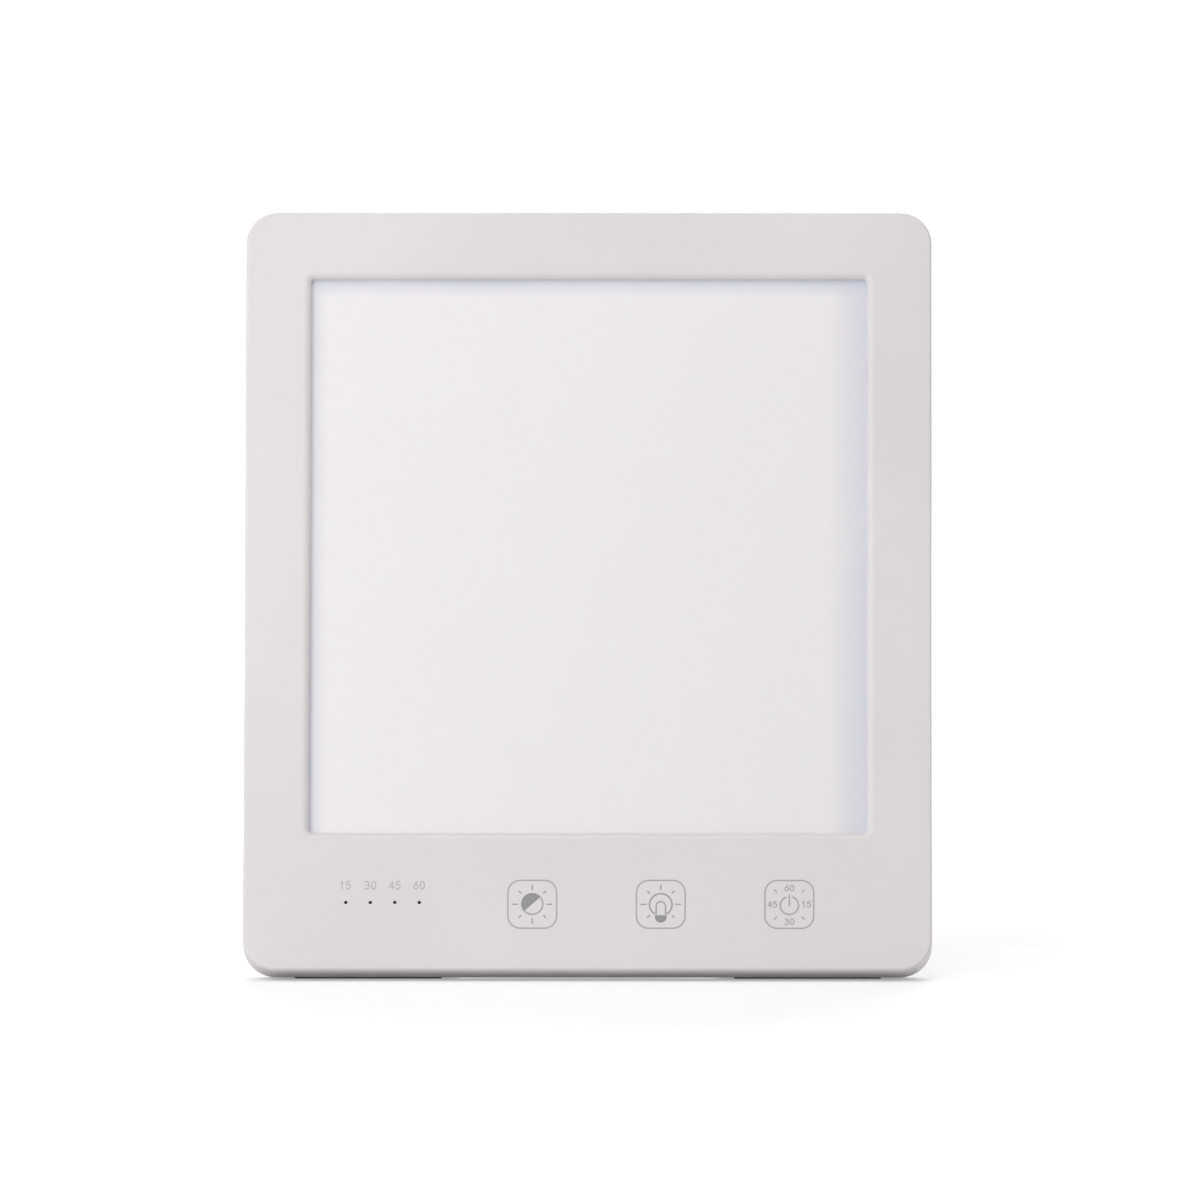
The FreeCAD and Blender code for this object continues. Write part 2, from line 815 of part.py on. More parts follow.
def foam_pads():
    """Foam blocks that press the heat plate forward off the pocket's inner side."""
    back = pocket_floor - pocket_wall
    pads = []
    for side in (-1, 1):
        x = side * half_leg / 2
        pads.append(block(x - foam_side / 2, x + foam_side / 2, plate_back, back,
                          foam_low, foam_low + foam_length))
    return Part.makeCompound(pads)


def dc_socket():
    """Power socket body: a block on the board with a round snout in the housing's hole."""
    half = socket_side / 2
    body = block(socket_inner_face - socket_length, socket_inner_face, board_back, board_back + socket_side,
                 socket_height - half, socket_height + half)
    start = V(socket_inner_face - over, socket_depth, socket_height)
    snout = drum(socket_snout_radius, start, X_AXIS, socket_mouth - socket_inner_face + over)
    bore_start = V(socket_mouth - socket_bore_depth, socket_depth, socket_height)
    bore = drum(socket_bore_radius, bore_start, X_AXIS, socket_bore_depth + over)
    seat_start = V(socket_inner_face - socket_length - over, socket_depth, socket_height)
    seat = drum(socket_shoulder_radius, seat_start, X_AXIS, socket_length)
    return body.fuse(snout).cut([bore, seat]).removeSplitter()


def dc_pin():
    """Centre pin of the power socket, with a wider shoulder held in the socket's floor."""
    floor = socket_mouth - socket_bore_depth
    pin = drum(socket_pin_radius, V(floor, socket_depth, socket_height), X_AXIS, socket_pin_length)
    shoulder_start = socket_inner_face - socket_length
    shoulder = drum(socket_shoulder_radius, V(shoulder_start, socket_depth, socket_height), X_AXIS,
                    floor - shoulder_start)
    return fuse_all([pin, shoulder])


def built_pieces():
    """Every piece of the fixed housing, by name, in the slab's frame."""
    pieces = {
        "front_bezel": front_bezel(),
        "diffuser_panel": panel_sheet(panel_recess, diffuser_back, 0),
        "prism_sheet": panel_sheet(diffuser_back, prism_back, prism_trim),
        "light_guide": panel_sheet(prism_back, guide_back, 0),
        "reflector_sheet": panel_sheet(guide_back, reflector_back, 0),
        "led_bar_left": led_bar(-1),
        "led_bar_right": led_bar(1),
        "led_chips_left": led_chips(-1),
        "led_chips_right": led_chips(1),
        "thermal_tapes": thermal_tapes(),
        "heat_plate": heat_plate(),
        "foam_pads": foam_pads(),
        "control_board": control_board(),
        "touch_pads": touch_pads(),
        "indicator_leds": indicator_leds(),
        "light_pipe": light_pipe(),
        "board_chip": board_chip(),
        "boost_inductor": boost_inductor(),
        "board_capacitors": board_capacitors(),
        "lead_connectors": lead_connectors(),
        "led_leads": led_leads(),
        "dc_socket": dc_socket(),
        "dc_pin": dc_pin(),
        "back_cover": back_cover(),
        "housing_screws": housing_screws(),
        "foot_pads": foot_pads(),
        "hinge_pin": hinge_pin(),
        "friction_washers": friction_washers(),
    }
    return pieces


def moving_pieces():
    """The stand's pieces, opened on their hinge, in the slab's frame."""
    return {
        "stand_leg": open_leg(stand_leg()),
        "stand_foot": open_leg(stand_foot_shape()),
    }


def footprint_middle(shapes):
    """Middle of the standing lamp's box, on the table."""
    box = FreeCAD.BoundBox()
    for shape in shapes:
        box.add(shape.optimalBoundingBox(False))
    print("size", round(box.XLength, 3), round(box.YLength, 3), round(box.ZLength, 3))
    return V(0, (box.YMin + box.YMax) / 2, 0)


def standing_pieces():
    """Every piece, leaned back on the stand, with the origin under the middle of the lamp."""
    pieces = {**built_pieces(), **moving_pieces()}
    standing = {name: stand_up(shape) for name, shape in pieces.items()}
    middle = footprint_middle(standing.values())
    for shape in standing.values():
        shape.translate(middle * -1)
    return standing, middle


def main():
    """Build and export every piece."""
    os.makedirs("parts", exist_ok=True)
    for name, shape in standing_pieces()[0].items():
        shape.exportStep(f"parts/{name}.step")


if __name__ == "__main__":
    main()
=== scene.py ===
import json
import logging
import math
from dataclasses import dataclass
from enum import Enum
from typing import Callable, Sequence

import bmesh
import bpy
from mathutils import Matrix, Vector


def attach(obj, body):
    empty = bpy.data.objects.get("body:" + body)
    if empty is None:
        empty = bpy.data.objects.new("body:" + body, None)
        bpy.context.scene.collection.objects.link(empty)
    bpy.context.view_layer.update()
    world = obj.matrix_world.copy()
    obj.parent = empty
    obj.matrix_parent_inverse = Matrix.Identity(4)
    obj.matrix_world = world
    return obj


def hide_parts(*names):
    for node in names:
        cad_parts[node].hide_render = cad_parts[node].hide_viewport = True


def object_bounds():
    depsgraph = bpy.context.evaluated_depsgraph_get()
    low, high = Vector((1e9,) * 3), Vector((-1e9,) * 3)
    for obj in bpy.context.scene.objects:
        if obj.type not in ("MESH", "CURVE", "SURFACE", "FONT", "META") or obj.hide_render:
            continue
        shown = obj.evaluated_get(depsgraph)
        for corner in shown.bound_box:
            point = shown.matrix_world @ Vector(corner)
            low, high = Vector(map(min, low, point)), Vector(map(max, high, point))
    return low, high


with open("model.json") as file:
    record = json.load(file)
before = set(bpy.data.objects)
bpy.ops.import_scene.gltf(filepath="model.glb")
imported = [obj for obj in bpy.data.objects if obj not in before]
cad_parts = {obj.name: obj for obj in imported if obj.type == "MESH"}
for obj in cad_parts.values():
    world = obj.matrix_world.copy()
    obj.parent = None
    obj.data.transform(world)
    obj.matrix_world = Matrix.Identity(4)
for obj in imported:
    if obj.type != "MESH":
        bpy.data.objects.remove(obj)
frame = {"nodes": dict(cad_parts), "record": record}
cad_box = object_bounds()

logging.basicConfig(level=logging.INFO, format="%(message)s")
log = logging.getLogger("light_therapy_lamp")

MM = 0.001
Colour = tuple[float, float, float]
Flat = tuple[float, float]


class Body(str, Enum):
    """The two bodies that a piece can ride on."""

    HOUSING = "housing"
    STAND = "stand"


class Fade(str, Enum):
    """The ways in which one tone runs into the next."""

    SMOOTH = "SMOOTHSTEP"
    EVEN = "LINEAR"


def srgb(red: float, green: float, blue: float) -> Colour:
    """Turn a colour as a screen shows it into the linear one that a shader takes.

    Args:
        red: Red from 0 to 255.
        green: Green from 0 to 255.
        blue: Blue from 0 to 255.

    Returns:
        The linear colour, each part from 0 to 1.
    """
    parts = (red / 255, green / 255, blue / 255)
    return tuple(c / 12.92 if c <= 0.04045 else ((c + 0.055) / 1.055) ** 2.4 for c in parts)


class ShaderGraph:
    """Node tree of one material, with short calls for what the finishes share."""

    def __init__(self, name: str) -> None:
        """Start a material with one surface shader, placed by the piece's own coordinates.

        Args:
            name: Name of the material.
        """
        self.material = bpy.data.materials.new(name)
        self.material.use_nodes = True
        self.tree = self.material.node_tree
        self.tree.nodes.clear()
        output = self.add("ShaderNodeOutputMaterial")
        self.surface = self.add("ShaderNodeBsdfPrincipled")
        self.link(self.surface.outputs["BSDF"], output.inputs["Surface"])
        self.place = self.add("ShaderNodeTexCoord").outputs["Object"]

    def add(self, kind: str, **settings: object) -> bpy.types.Node:
        """Add a node and set what is named.

        Args:
            kind: Blender's name for the kind of node.
            settings: Values of the node's own settings.

        Returns:
            The new node.
        """
        node = self.tree.nodes.new(kind)
        for key, value in settings.items():
            setattr(node, key, value)
        return node

    def link(self, source: bpy.types.NodeSocket, target: bpy.types.NodeSocket) -> None:
        """Join an output to an input."""
        self.tree.links.new(source, target)

    def stretched(self, stretch: Sequence[float]) -> bpy.types.NodeSocket:
        """Scale the piece's coordinates along each axis.

        Args:
            stretch: Scale along x, y and z.

        Returns:
            The scaled coordinates.
        """
        mapping = self.add("ShaderNodeMapping")
        mapping.inputs["Scale"].default_value = stretch
        self.link(self.place, mapping.inputs["Vector"])
        return mapping.outputs["Vector"]

    def noise(
        self, per_metre: float, detail: float = 3.0, stretch: Sequence[float] = (1, 1, 1)
    ) -> bpy.types.NodeSocket:
        """Cloudy pattern from 0 to 1.

        Args:
            per_metre: How many blots lie along a metre.
            detail: How many finer layers are added.
            stretch: Scale along each axis, for a drawn-out grain.

        Returns:
            The pattern's value.
        """
        texture = self.add("ShaderNodeTexNoise")
        texture.inputs["Scale"].default_value = per_metre
        texture.inputs["Detail"].default_value = detail
        self.link(self.stretched(stretch), texture.inputs["Vector"])
        return texture.outputs["Fac"]

    def cells(self, per_metre: float) -> bpy.types.NodeSocket:
        """Distance to the nearest of many scattered points.

        Args:
            per_metre: How many cells lie along a metre.

        Returns:
            The distance, in cells.
        """
        texture = self.add("ShaderNodeTexVoronoi")
        texture.inputs["Scale"].default_value = per_metre
        self.link(self.place, texture.inputs["Vector"])
        return texture.outputs["Distance"]

    def spread(
        self, value: bpy.types.NodeSocket, start: Flat, end: Flat, way: Fade = Fade.SMOOTH
    ) -> bpy.types.NodeSocket:
        """Map one range of a value to another, and hold it at the ends.

        Args:
            value: What is mapped.
            start: Lowest and highest value that counts.
            end: What those two become.
            way: How it runs between them.

        Returns:
            The mapped value.
        """
        node = self.add("ShaderNodeMapRange", interpolation_type=way.value)
        for socket, number in zip(node.inputs[1:5], (*start, *end)):
            socket.default_value = number
        self.link(value, node.inputs["Value"])
        return node.outputs["Result"]

    def blend(
        self, factor: bpy.types.NodeSocket, first: object, second: object
    ) -> bpy.types.NodeSocket:
        """Mix two colours.

        Args:
            factor: Share of the second colour.
            first: A colour, or a socket that gives one.
            second: A colour, or a socket that gives one.

        Returns:
            The mixed colour.
        """
        node = self.add("ShaderNodeMix", data_type="RGBA")
        self.link(factor, node.inputs["Factor"])
        for socket, colour in ((node.inputs[6], first), (node.inputs[7], second)):
            if isinstance(colour, bpy.types.NodeSocket):
                self.link(colour, socket)
            else:
                socket.default_value = (*colour, 1.0)
        return node.outputs[2]

    def maths(self, operation: str, first: object, second: object = 0.0) -> bpy.types.NodeSocket:
        """Combine two values.

        Args:
            operation: Blender's name for the sum that is done.
            first: A number, or a socket that gives one.
            second: A number, or a socket that gives one.

        Returns:
            The result.
        """
        node = self.add("ShaderNodeMath", operation=operation)
        for socket, value in zip(node.inputs, (first, second)):
            if isinstance(value, bpy.types.NodeSocket):
                self.link(value, socket)
            else:
                socket.default_value = value
        return node.outputs[0]

    def axis(self, name: str) -> bpy.types.NodeSocket:
        """One of the piece's coordinates, in metres.

        Args:
            name: X, Y or Z.

        Returns:
            The coordinate.
        """
        parts = self.add("ShaderNodeSeparateXYZ")
        self.link(self.place, parts.inputs[0])
        return parts.outputs[name]

    def colour(self, source: bpy.types.NodeSocket) -> None:
        """Use a socket as the surface's colour."""
        self.link(source, self.surface.inputs["Base Color"])

    def roughness(self, source: bpy.types.NodeSocket) -> None:
        """Use a socket as the surface's roughness."""
        self.link(source, self.surface.inputs["Roughness"])

    def bump(self, layers: Sequence[tuple[bpy.types.NodeSocket, float]]) -> None:
        """Raise the surface by one or more patterns.

        Args:
            layers: A pattern, and how far it rises in millimetres, for each layer.
        """
        normal = None
        for height, rise in layers:
            node = self.add("ShaderNodeBump")
            node.inputs["Distance"].default_value = rise * MM
            self.link(height, node.inputs["Height"])
            if normal:
                self.link(normal, node.inputs["Normal"])
            normal = node.outputs["Normal"]
        self.link(normal, self.surface.inputs["Normal"])

    def fix(self, **values: float) -> None:
        """Set numbers that are the same all over the surface.

        Args:
            values: Input names with underscores for spaces, and their numbers.
        """
        for key, value in values.items():
            self.surface.inputs[key.replace("_", " ")].default_value = value


@dataclass(frozen=True)
class MouldedPlastic:
    """Injection-moulded plastic with a fine spark-eroded grain and faint flow clouds."""

    name: str
    light: Colour
    dark: Colour
    roughness: float = 0.42
    grain_per_metre: float = 5200.0
    grain_rise: float = 0.012
    clouds_per_metre: float = 9.0
    speck_shade: float = 0.985

    def material(self) -> bpy.types.Material:
        """Build the finish's material."""
        graph = ShaderGraph(self.name)
        clouds = graph.noise(self.clouds_per_metre, 4.0)
        specks = graph.noise(self.grain_per_metre / 3, 2.0)
        tone = graph.blend(graph.spread(clouds, (0.36, 0.64), (0.0, 1.0)), self.dark, self.light)
        faded = tuple(part * self.speck_shade for part in self.dark)
        graph.colour(graph.blend(graph.spread(specks, (0.62, 0.8), (0.0, 0.5)), tone, faded))
        low, high = self.roughness - 0.05, self.roughness + 0.05
        graph.roughness(graph.spread(graph.noise(140.0), (0.3, 0.7), (low, high)))
        graph.bump([(graph.noise(self.grain_per_metre, 2.0), self.grain_rise),
                    (graph.noise(38.0, 1.0), 0.01)])
        graph.fix(IOR=1.52)
        return graph.material


@dataclass(frozen=True)
class OpalSheet:
    """Opal acrylic sheet, with a painted bluish shade along its left, right and top edges.

    Each edge has the sheet's place where the painted shade starts and where it is full, in millimetres
    across the sheet, or up it for the top edge.
    """

    name: str
    face: Colour
    warm: Colour
    # Colour of the painted shade along the left, right and top edges.
    edge: Colour
    right: Flat
    left: Flat
    top: Flat

    def material(self) -> bpy.types.Material:
        """Build the finish's material."""
        graph = ShaderGraph(self.name)
        clouds = graph.spread(graph.noise(7.0, 3.0), (0.35, 0.65), (0.0, 1.0))
        colour = graph.blend(clouds, self.face, self.warm)
        painted_shade_patchiness = graph.spread(graph.noise(24.0, 2.0), (0.3, 0.7), (0.8, 1.0))
        # Painted shade: each edge's band blends the colour toward the edge colour, a little patchy.
        for axis, span in (("X", self.right), ("X", self.left), ("Z", self.top)):
            toward = graph.spread(graph.axis(axis), (span[0] * MM, span[1] * MM), (0.0, 1.0), Fade.EVEN)
            colour = graph.blend(graph.maths("MULTIPLY", toward, painted_shade_patchiness), colour, self.edge)
        graph.colour(colour)
        graph.roughness(graph.spread(graph.noise(90.0), (0.3, 0.7), (0.3, 0.38)))
        graph.bump([(graph.noise(2600.0, 2.0), 0.004)])
        graph.fix(IOR=1.49, Subsurface_Weight=0.12, Subsurface_Scale=0.002)
        return graph.material


@dataclass(frozen=True)
class ClearSheet:
    """Clear or smoked acrylic with faint moulding ripples."""

    name: str
    tint: Colour
    deep: Colour
    roughness: float = 0.06

    def material(self) -> bpy.types.Material:
        """Build the finish's material."""
        graph = ShaderGraph(self.name)
        graph.colour(graph.blend(graph.noise(120.0), self.tint, self.deep))
        low, high = self.roughness * 0.7, self.roughness * 1.5
        graph.roughness(graph.spread(graph.noise(400.0), (0.3, 0.7), (low, high)))
        graph.bump([(graph.noise(300.0), 0.004)])
        graph.fix(IOR=1.49, Transmission_Weight=0.9)
        return graph.material


@dataclass(frozen=True)
class DrawnMetal:
    """Metal with a grain along one axis and a few duller patches."""

    name: str
    bright: Colour
    dull: Colour
    grain: tuple[float, float, float]
    roughness: float = 0.3

    def material(self) -> bpy.types.Material:
        """Build the finish's material."""
        graph = ShaderGraph(self.name)
        patches = graph.spread(graph.noise(45.0, 4.0), (0.4, 0.7), (0.0, 1.0))
        graph.colour(graph.blend(patches, self.bright, self.dull))
        lines = graph.noise(900.0, 3.0, self.grain)
        low, high = self.roughness - 0.08, self.roughness + 0.1
        graph.roughness(graph.spread(lines, (0.3, 0.7), (low, high)))
        graph.bump([(lines, 0.003)])
        graph.fix(Metallic=1.0)
        return graph.material


@dataclass(frozen=True)
class SoftRubber:
    """Matt rubber or foam, dusted where it has been touched."""

    name: str
    body: Colour
    dust: Colour
    cell_per_metre: float = 3200.0
    cell_rise: float = 0.02
    roughness: float = 0.78

    def material(self) -> bpy.types.Material:
        """Build the finish's material."""
        graph = ShaderGraph(self.name)
        dust = graph.spread(graph.noise(150.0, 5.0), (0.45, 0.75), (0.0, 0.6))
        graph.colour(graph.blend(dust, self.body, self.dust))
        low, high = self.roughness - 0.08, self.roughness + 0.1
        graph.roughness(graph.spread(graph.noise(260.0), (0.3, 0.7), (low, high)))
        graph.bump([(graph.cells(self.cell_per_metre), self.cell_rise)])
        graph.fix(IOR=1.5)
        return graph.material


@dataclass(frozen=True)
class BoardLaminate:
    """Lacquered circuit board with raised tracks and tinned pads."""

    name: str
    lacquer: Colour
    track: Colour
    pad: Colour
    tracks_per_metre: float = 130.0
    pads_per_metre: float = 420.0

    def material(self) -> bpy.types.Material:
        """Build the finish's material."""
        graph = ShaderGraph(self.name)
        lines = []
        for direction, offset in (("X", 0.0), ("Z", 2.0)):
            wave = graph.add("ShaderNodeTexWave", bands_direction=direction)
            wave.inputs["Scale"].default_value = self.tracks_per_metre
            wave.inputs["Phase Offset"].default_value = offset
            wave.inputs["Distortion"].default_value = 0.4
            graph.link(graph.place, wave.inputs["Vector"])
            lines.append(graph.spread(wave.outputs["Fac"], (0.72, 0.8), (0.0, 1.0)))
        where = graph.spread(graph.noise(90.0, 1.0), (0.48, 0.52), (0.0, 1.0))
        other = graph.maths("SUBTRACT", 1.0, where)
        tracks = graph.maths("MAXIMUM", graph.maths("MULTIPLY", lines[0], where),
                             graph.maths("MULTIPLY", lines[1], other))
        base = graph.blend(graph.noise(60.0), self.lacquer, tuple(c * 0.85 for c in self.lacquer))
        pads = graph.spread(graph.cells(self.pads_per_metre), (0.16, 0.2), (1.0, 0.0))
        graph.colour(graph.blend(pads, graph.blend(tracks, base, self.track), self.pad))
        graph.roughness(graph.spread(pads, (0.0, 1.0), (0.28, 0.36)))
        graph.bump([(graph.maths("MAXIMUM", tracks, pads), 0.03)])
        graph.fix(IOR=1.55)
        return graph.material


@dataclass(frozen=True)
class PadInk:
    """Pad-printed ink: matt, thin, and slightly broken at a fine scale."""

    name: str
    full: Colour
    thin: Colour

    def material(self) -> bpy.types.Material:
        """Build the finish's material."""
        graph = ShaderGraph(self.name)
        worn = graph.spread(graph.noise(2400.0, 3.0), (0.5, 0.75), (0.0, 0.8))
        graph.colour(graph.blend(worn, self.full, self.thin))
        graph.roughness(graph.spread(graph.noise(1500.0), (0.3, 0.7), (0.45, 0.6)))
        graph.bump([(graph.noise(5200.0), 0.006)])
        return graph.material


@dataclass(frozen=True)
class SlabFrame:
    """The slab's own frame: x to the viewer's right, y from front to back, z up the slab.

    Its sizes and all points in it are millimetres. The stand's frame is the same one, turned about
    the hinge, with its zero on the hinge pin.
    """

    lean_deg: float = 15.0
    open_deg: float = 26.0
    hinge_depth: float = 17.8
    hinge_height: float = 150.0

    def hinge(self) -> Vector:
        """Place of the hinge, in the row's metres."""
        return Vector(frame["record"]["behaviour"]["joints"][0]["pos_m"])

    def slab(self) -> Matrix:
        """Matrix from the slab's millimetres to the row's metres."""
        lean = Matrix.Rotation(-math.radians(self.lean_deg), 4, "X")
        local = lean @ Vector((0, self.hinge_depth, self.hinge_height)) * MM
        return Matrix.Translation(self.hinge() - local) @ lean @ Matrix.Scale(MM, 4)

    def stand(self) -> Matrix:
        """Matrix from the stand's millimetres, drawn hanging straight down, to the row's metres."""
        swing = Matrix.Rotation(math.radians(self.open_deg - self.lean_deg), 4, "X")
        return Matrix.Translation(self.hinge()) @ swing @ Matrix.Scale(MM, 4)


def make_piece(
    name: str, mesh: bmesh.types.BMesh, place: Matrix, finish: bpy.types.Material, body: Body
) -> bpy.types.Object:
    """Turn a mesh into a piece that rides on a body.

    Args:
        name: Name of the piece.
        mesh: Its mesh, which is freed.
        place: Matrix from the mesh's own units to the row's metres.
        finish: Material of the whole piece.
        body: Body that it moves with.

    Returns:
        The new object.
    """
    mesh.transform(place)
    bmesh.ops.recalc_face_normals(mesh, faces=mesh.faces)
    data = bpy.data.meshes.new(name)
    mesh.to_mesh(data)
    mesh.free()
    piece = bpy.data.objects.new(name, data)
    bpy.context.scene.collection.objects.link(piece)
    data.materials.append(finish)
    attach(piece, body.value)
    log.info("made %s: %d faces", name, len(data.polygons))
    return piece


def loft(
    mesh: bmesh.types.BMesh, rings: Sequence[Sequence[Vector]], smooth: bool = True
) -> None:
    """Join closed rings of equal count into one closed skin with flat ends.

    Args:
        mesh: Mesh that takes the skin.
        rings: The rings, from one end to the other.
        smooth: Whether the sides shade as one curve.
    """
    rows = [[mesh.verts.new(point) for point in ring] for ring in rings]
    count = len(rows[0])
    for near, far in zip(rows, rows[1:]):
        for i in range(count):
            j = (i + 1) % count
            mesh.faces.new((near[i], near[j], far[j], far[i])).smooth = smooth
    mesh.faces.new(rows[0][::-1])
    mesh.faces.new(rows[-1])


class InkMesh:
    """Flat marks on the slab's front, gathered into thin closed solids.

    Lines take turns at three heights above the filled shapes, so that marks that cross share no plane.
    """

    sunk: float = 0.01
    fill: float = 0.022
    step: float = 0.004
    turns: int = 3
    end_steps: int = 6
    sharpest: float = 0.5

    def __init__(self) -> None:
        """Start with nothing printed."""
        self.mesh = bmesh.new()
        self.lines = 0

    def shape(self, outline: Sequence[Flat], height: float = fill) -> None:
        """Print a filled outline.

        Args:
            outline: Its corners in order, x and z in millimetres.
            height: How far it stands proud.
        """
        rings = [[Vector((x, y, z)) for x, z in outline] for y in (self.sunk, -height)]
        loft(self.mesh, rings, False)

    def stroke(self, path: Sequence[Flat], width: float) -> None:
        """Print a line with round ends, or a ring where the path ends at its start.

        Args:
            path: Points along the middle of the line.
            width: Width of the line.
        """
        ring = (Vector(path[0]) - Vector(path[-1])).length < self.step
        points = [Vector(p) for p in (path[:-1] if ring else path)]
        last = len(points) - 1
        left, right = [], []
        for i, point in enumerate(points):
            after = points[(i + 1) % (last + 1)] if ring else points[min(i + 1, last)]
            before = points[i - 1] if ring else points[max(i - 1, 0)]
            ahead, behind = (after - point).normalized(), (point - before).normalized()
            along = (ahead + behind).normalized()
            way = ahead if ahead.length else behind
            side = Vector((-along.y, along.x))
            half = width / 2 / max(side.dot(Vector((-way.y, way.x))), self.sharpest)
            left.append(point + side * half)
            right.append(point - side * half)
        self.lines += 1
        height = self.fill + self.step * (1 + self.lines % self.turns)
        if ring:
            self.band(left, right, height)
            return
        ends = []
        for tip, rim in ((points[-1], left[-1]), (points[0], right[0])):
            angles = [-math.pi * k / self.end_steps for k in range(1, self.end_steps)]
            ends.append([tip + Matrix.Rotation(angle, 2) @ (rim - tip) for angle in angles])
        self.shape([tuple(p) for p in left + ends[0] + right[::-1] + ends[1]], height)

    def band(self, outer: Sequence[Flat], inner: Sequence[Flat], height: float = fill) -> None:
        """Print what lies between two closed outlines of equal count.

        Args:
            outer: Outer outline.
            inner: Inner outline, point for point beside the outer one.
            height: How far it stands proud.
        """
        rows = []
        for outline, y in ((outer, self.sunk), (outer, -height), (inner, -height), (inner, self.sunk)):
            rows.append([self.mesh.verts.new((x, y, z)) for x, z in outline])
        count = len(outer)
        for near, far in zip(rows, rows[1:] + rows[:1]):
            for i in range(count):
                j = (i + 1) % count
                self.mesh.faces.new((near[i], near[j], far[j], far[i]))


def arc(centre: Flat, radius: float, start: float, turn: float, steps: int = 24) -> list[Flat]:
    """Points along an arc.

    Args:
        centre: Its centre.
        radius: Its radius.
        start: First angle in degrees, anticlockwise from the right.
        turn: How far it turns in degrees.
        steps: Number of steps.

    Returns:
        The points, both ends included.
    """
    angles = [math.radians(start + turn * i / steps) for i in range(steps + 1)]
    return [(centre[0] + radius * math.cos(a), centre[1] + radius * math.sin(a)) for a in angles]


def rounded_square(centre: Flat, half: float, radius: float) -> list[Flat]:
    """Closed outline of a square with round corners.

    Args:
        centre: Its centre.
        half: Half its side.
        radius: Radius of its corners.

    Returns:
        Its points, anticlockwise from the right.
    """
    points = []
    for start, sx, sz in ((0, 1, 1), (90, -1, 1), (180, -1, -1), (270, 1, -1)):
        corner = (centre[0] + sx * (half - radius), centre[1] + sz * (half - radius))
        points += arc(corner, radius, start, 90, 10)
    return points


@dataclass(frozen=True)
class StrokeDigits:
    """Plain numbers drawn with a round-ended line, as wide as they are set."""

    height: float
    width: float
    gap: float
    line: float

    def paths(self, digit: str) -> list[list[Flat]]:
        """Lines of one digit.

        Args:
            digit: One of 0, 1, 3, 4, 5 and 6.

        Returns:
            Its lines, in a box one wide and one high.
        """
        def curve(cx: float, cz: float, rx: float, rz: float, start: float, turn: float) -> list[Flat]:
            return [(cx + rx * x, cz + rz * z) for x, z in arc((0, 0), 1, start, turn, 16)]

        return {
            "0": [curve(0.5, 0.5, 0.5, 0.5, 90, 360)],
            "1": [[(0.2, 0.78), (0.6, 1.0)], [(0.6, 1.0), (0.6, 0.0)]],
            "3": [curve(0.45, 0.76, 0.43, 0.24, 150, -240), curve(0.45, 0.27, 0.52, 0.27, 90, -240)],
            "4": [[(0.75, 0.0), (0.75, 1.0)], [(0.75, 1.0), (0.0, 0.3)], [(0.0, 0.3), (1.0, 0.3)]],
            "5": [[(0.92, 1.0), (0.2, 1.0)], [(0.2, 1.0), (0.12, 0.56)],
                  curve(0.45, 0.33, 0.52, 0.33, 133, -283)],
            "6": [[(0.74, 1.0), (0.1, 0.46)], curve(0.5, 0.31, 0.5, 0.31, 180, 360)],
        }[digit]

    def print_on(self, ink: InkMesh, text: str, centre: Flat) -> None:
        """Print a number.

        Args:
            ink: Mesh that takes it.
            text: Its digits.
            centre: Middle of the number.
        """
        whole = len(text) * self.width + (len(text) - 1) * self.gap
        for place, digit in enumerate(text):
            x = centre[0] - whole / 2 + place * (self.width + self.gap)
            z = centre[1] - self.height / 2
            for path in self.paths(digit):
                ink.stroke([(x + px * self.width, z + pz * self.height) for px, pz in path], self.line)


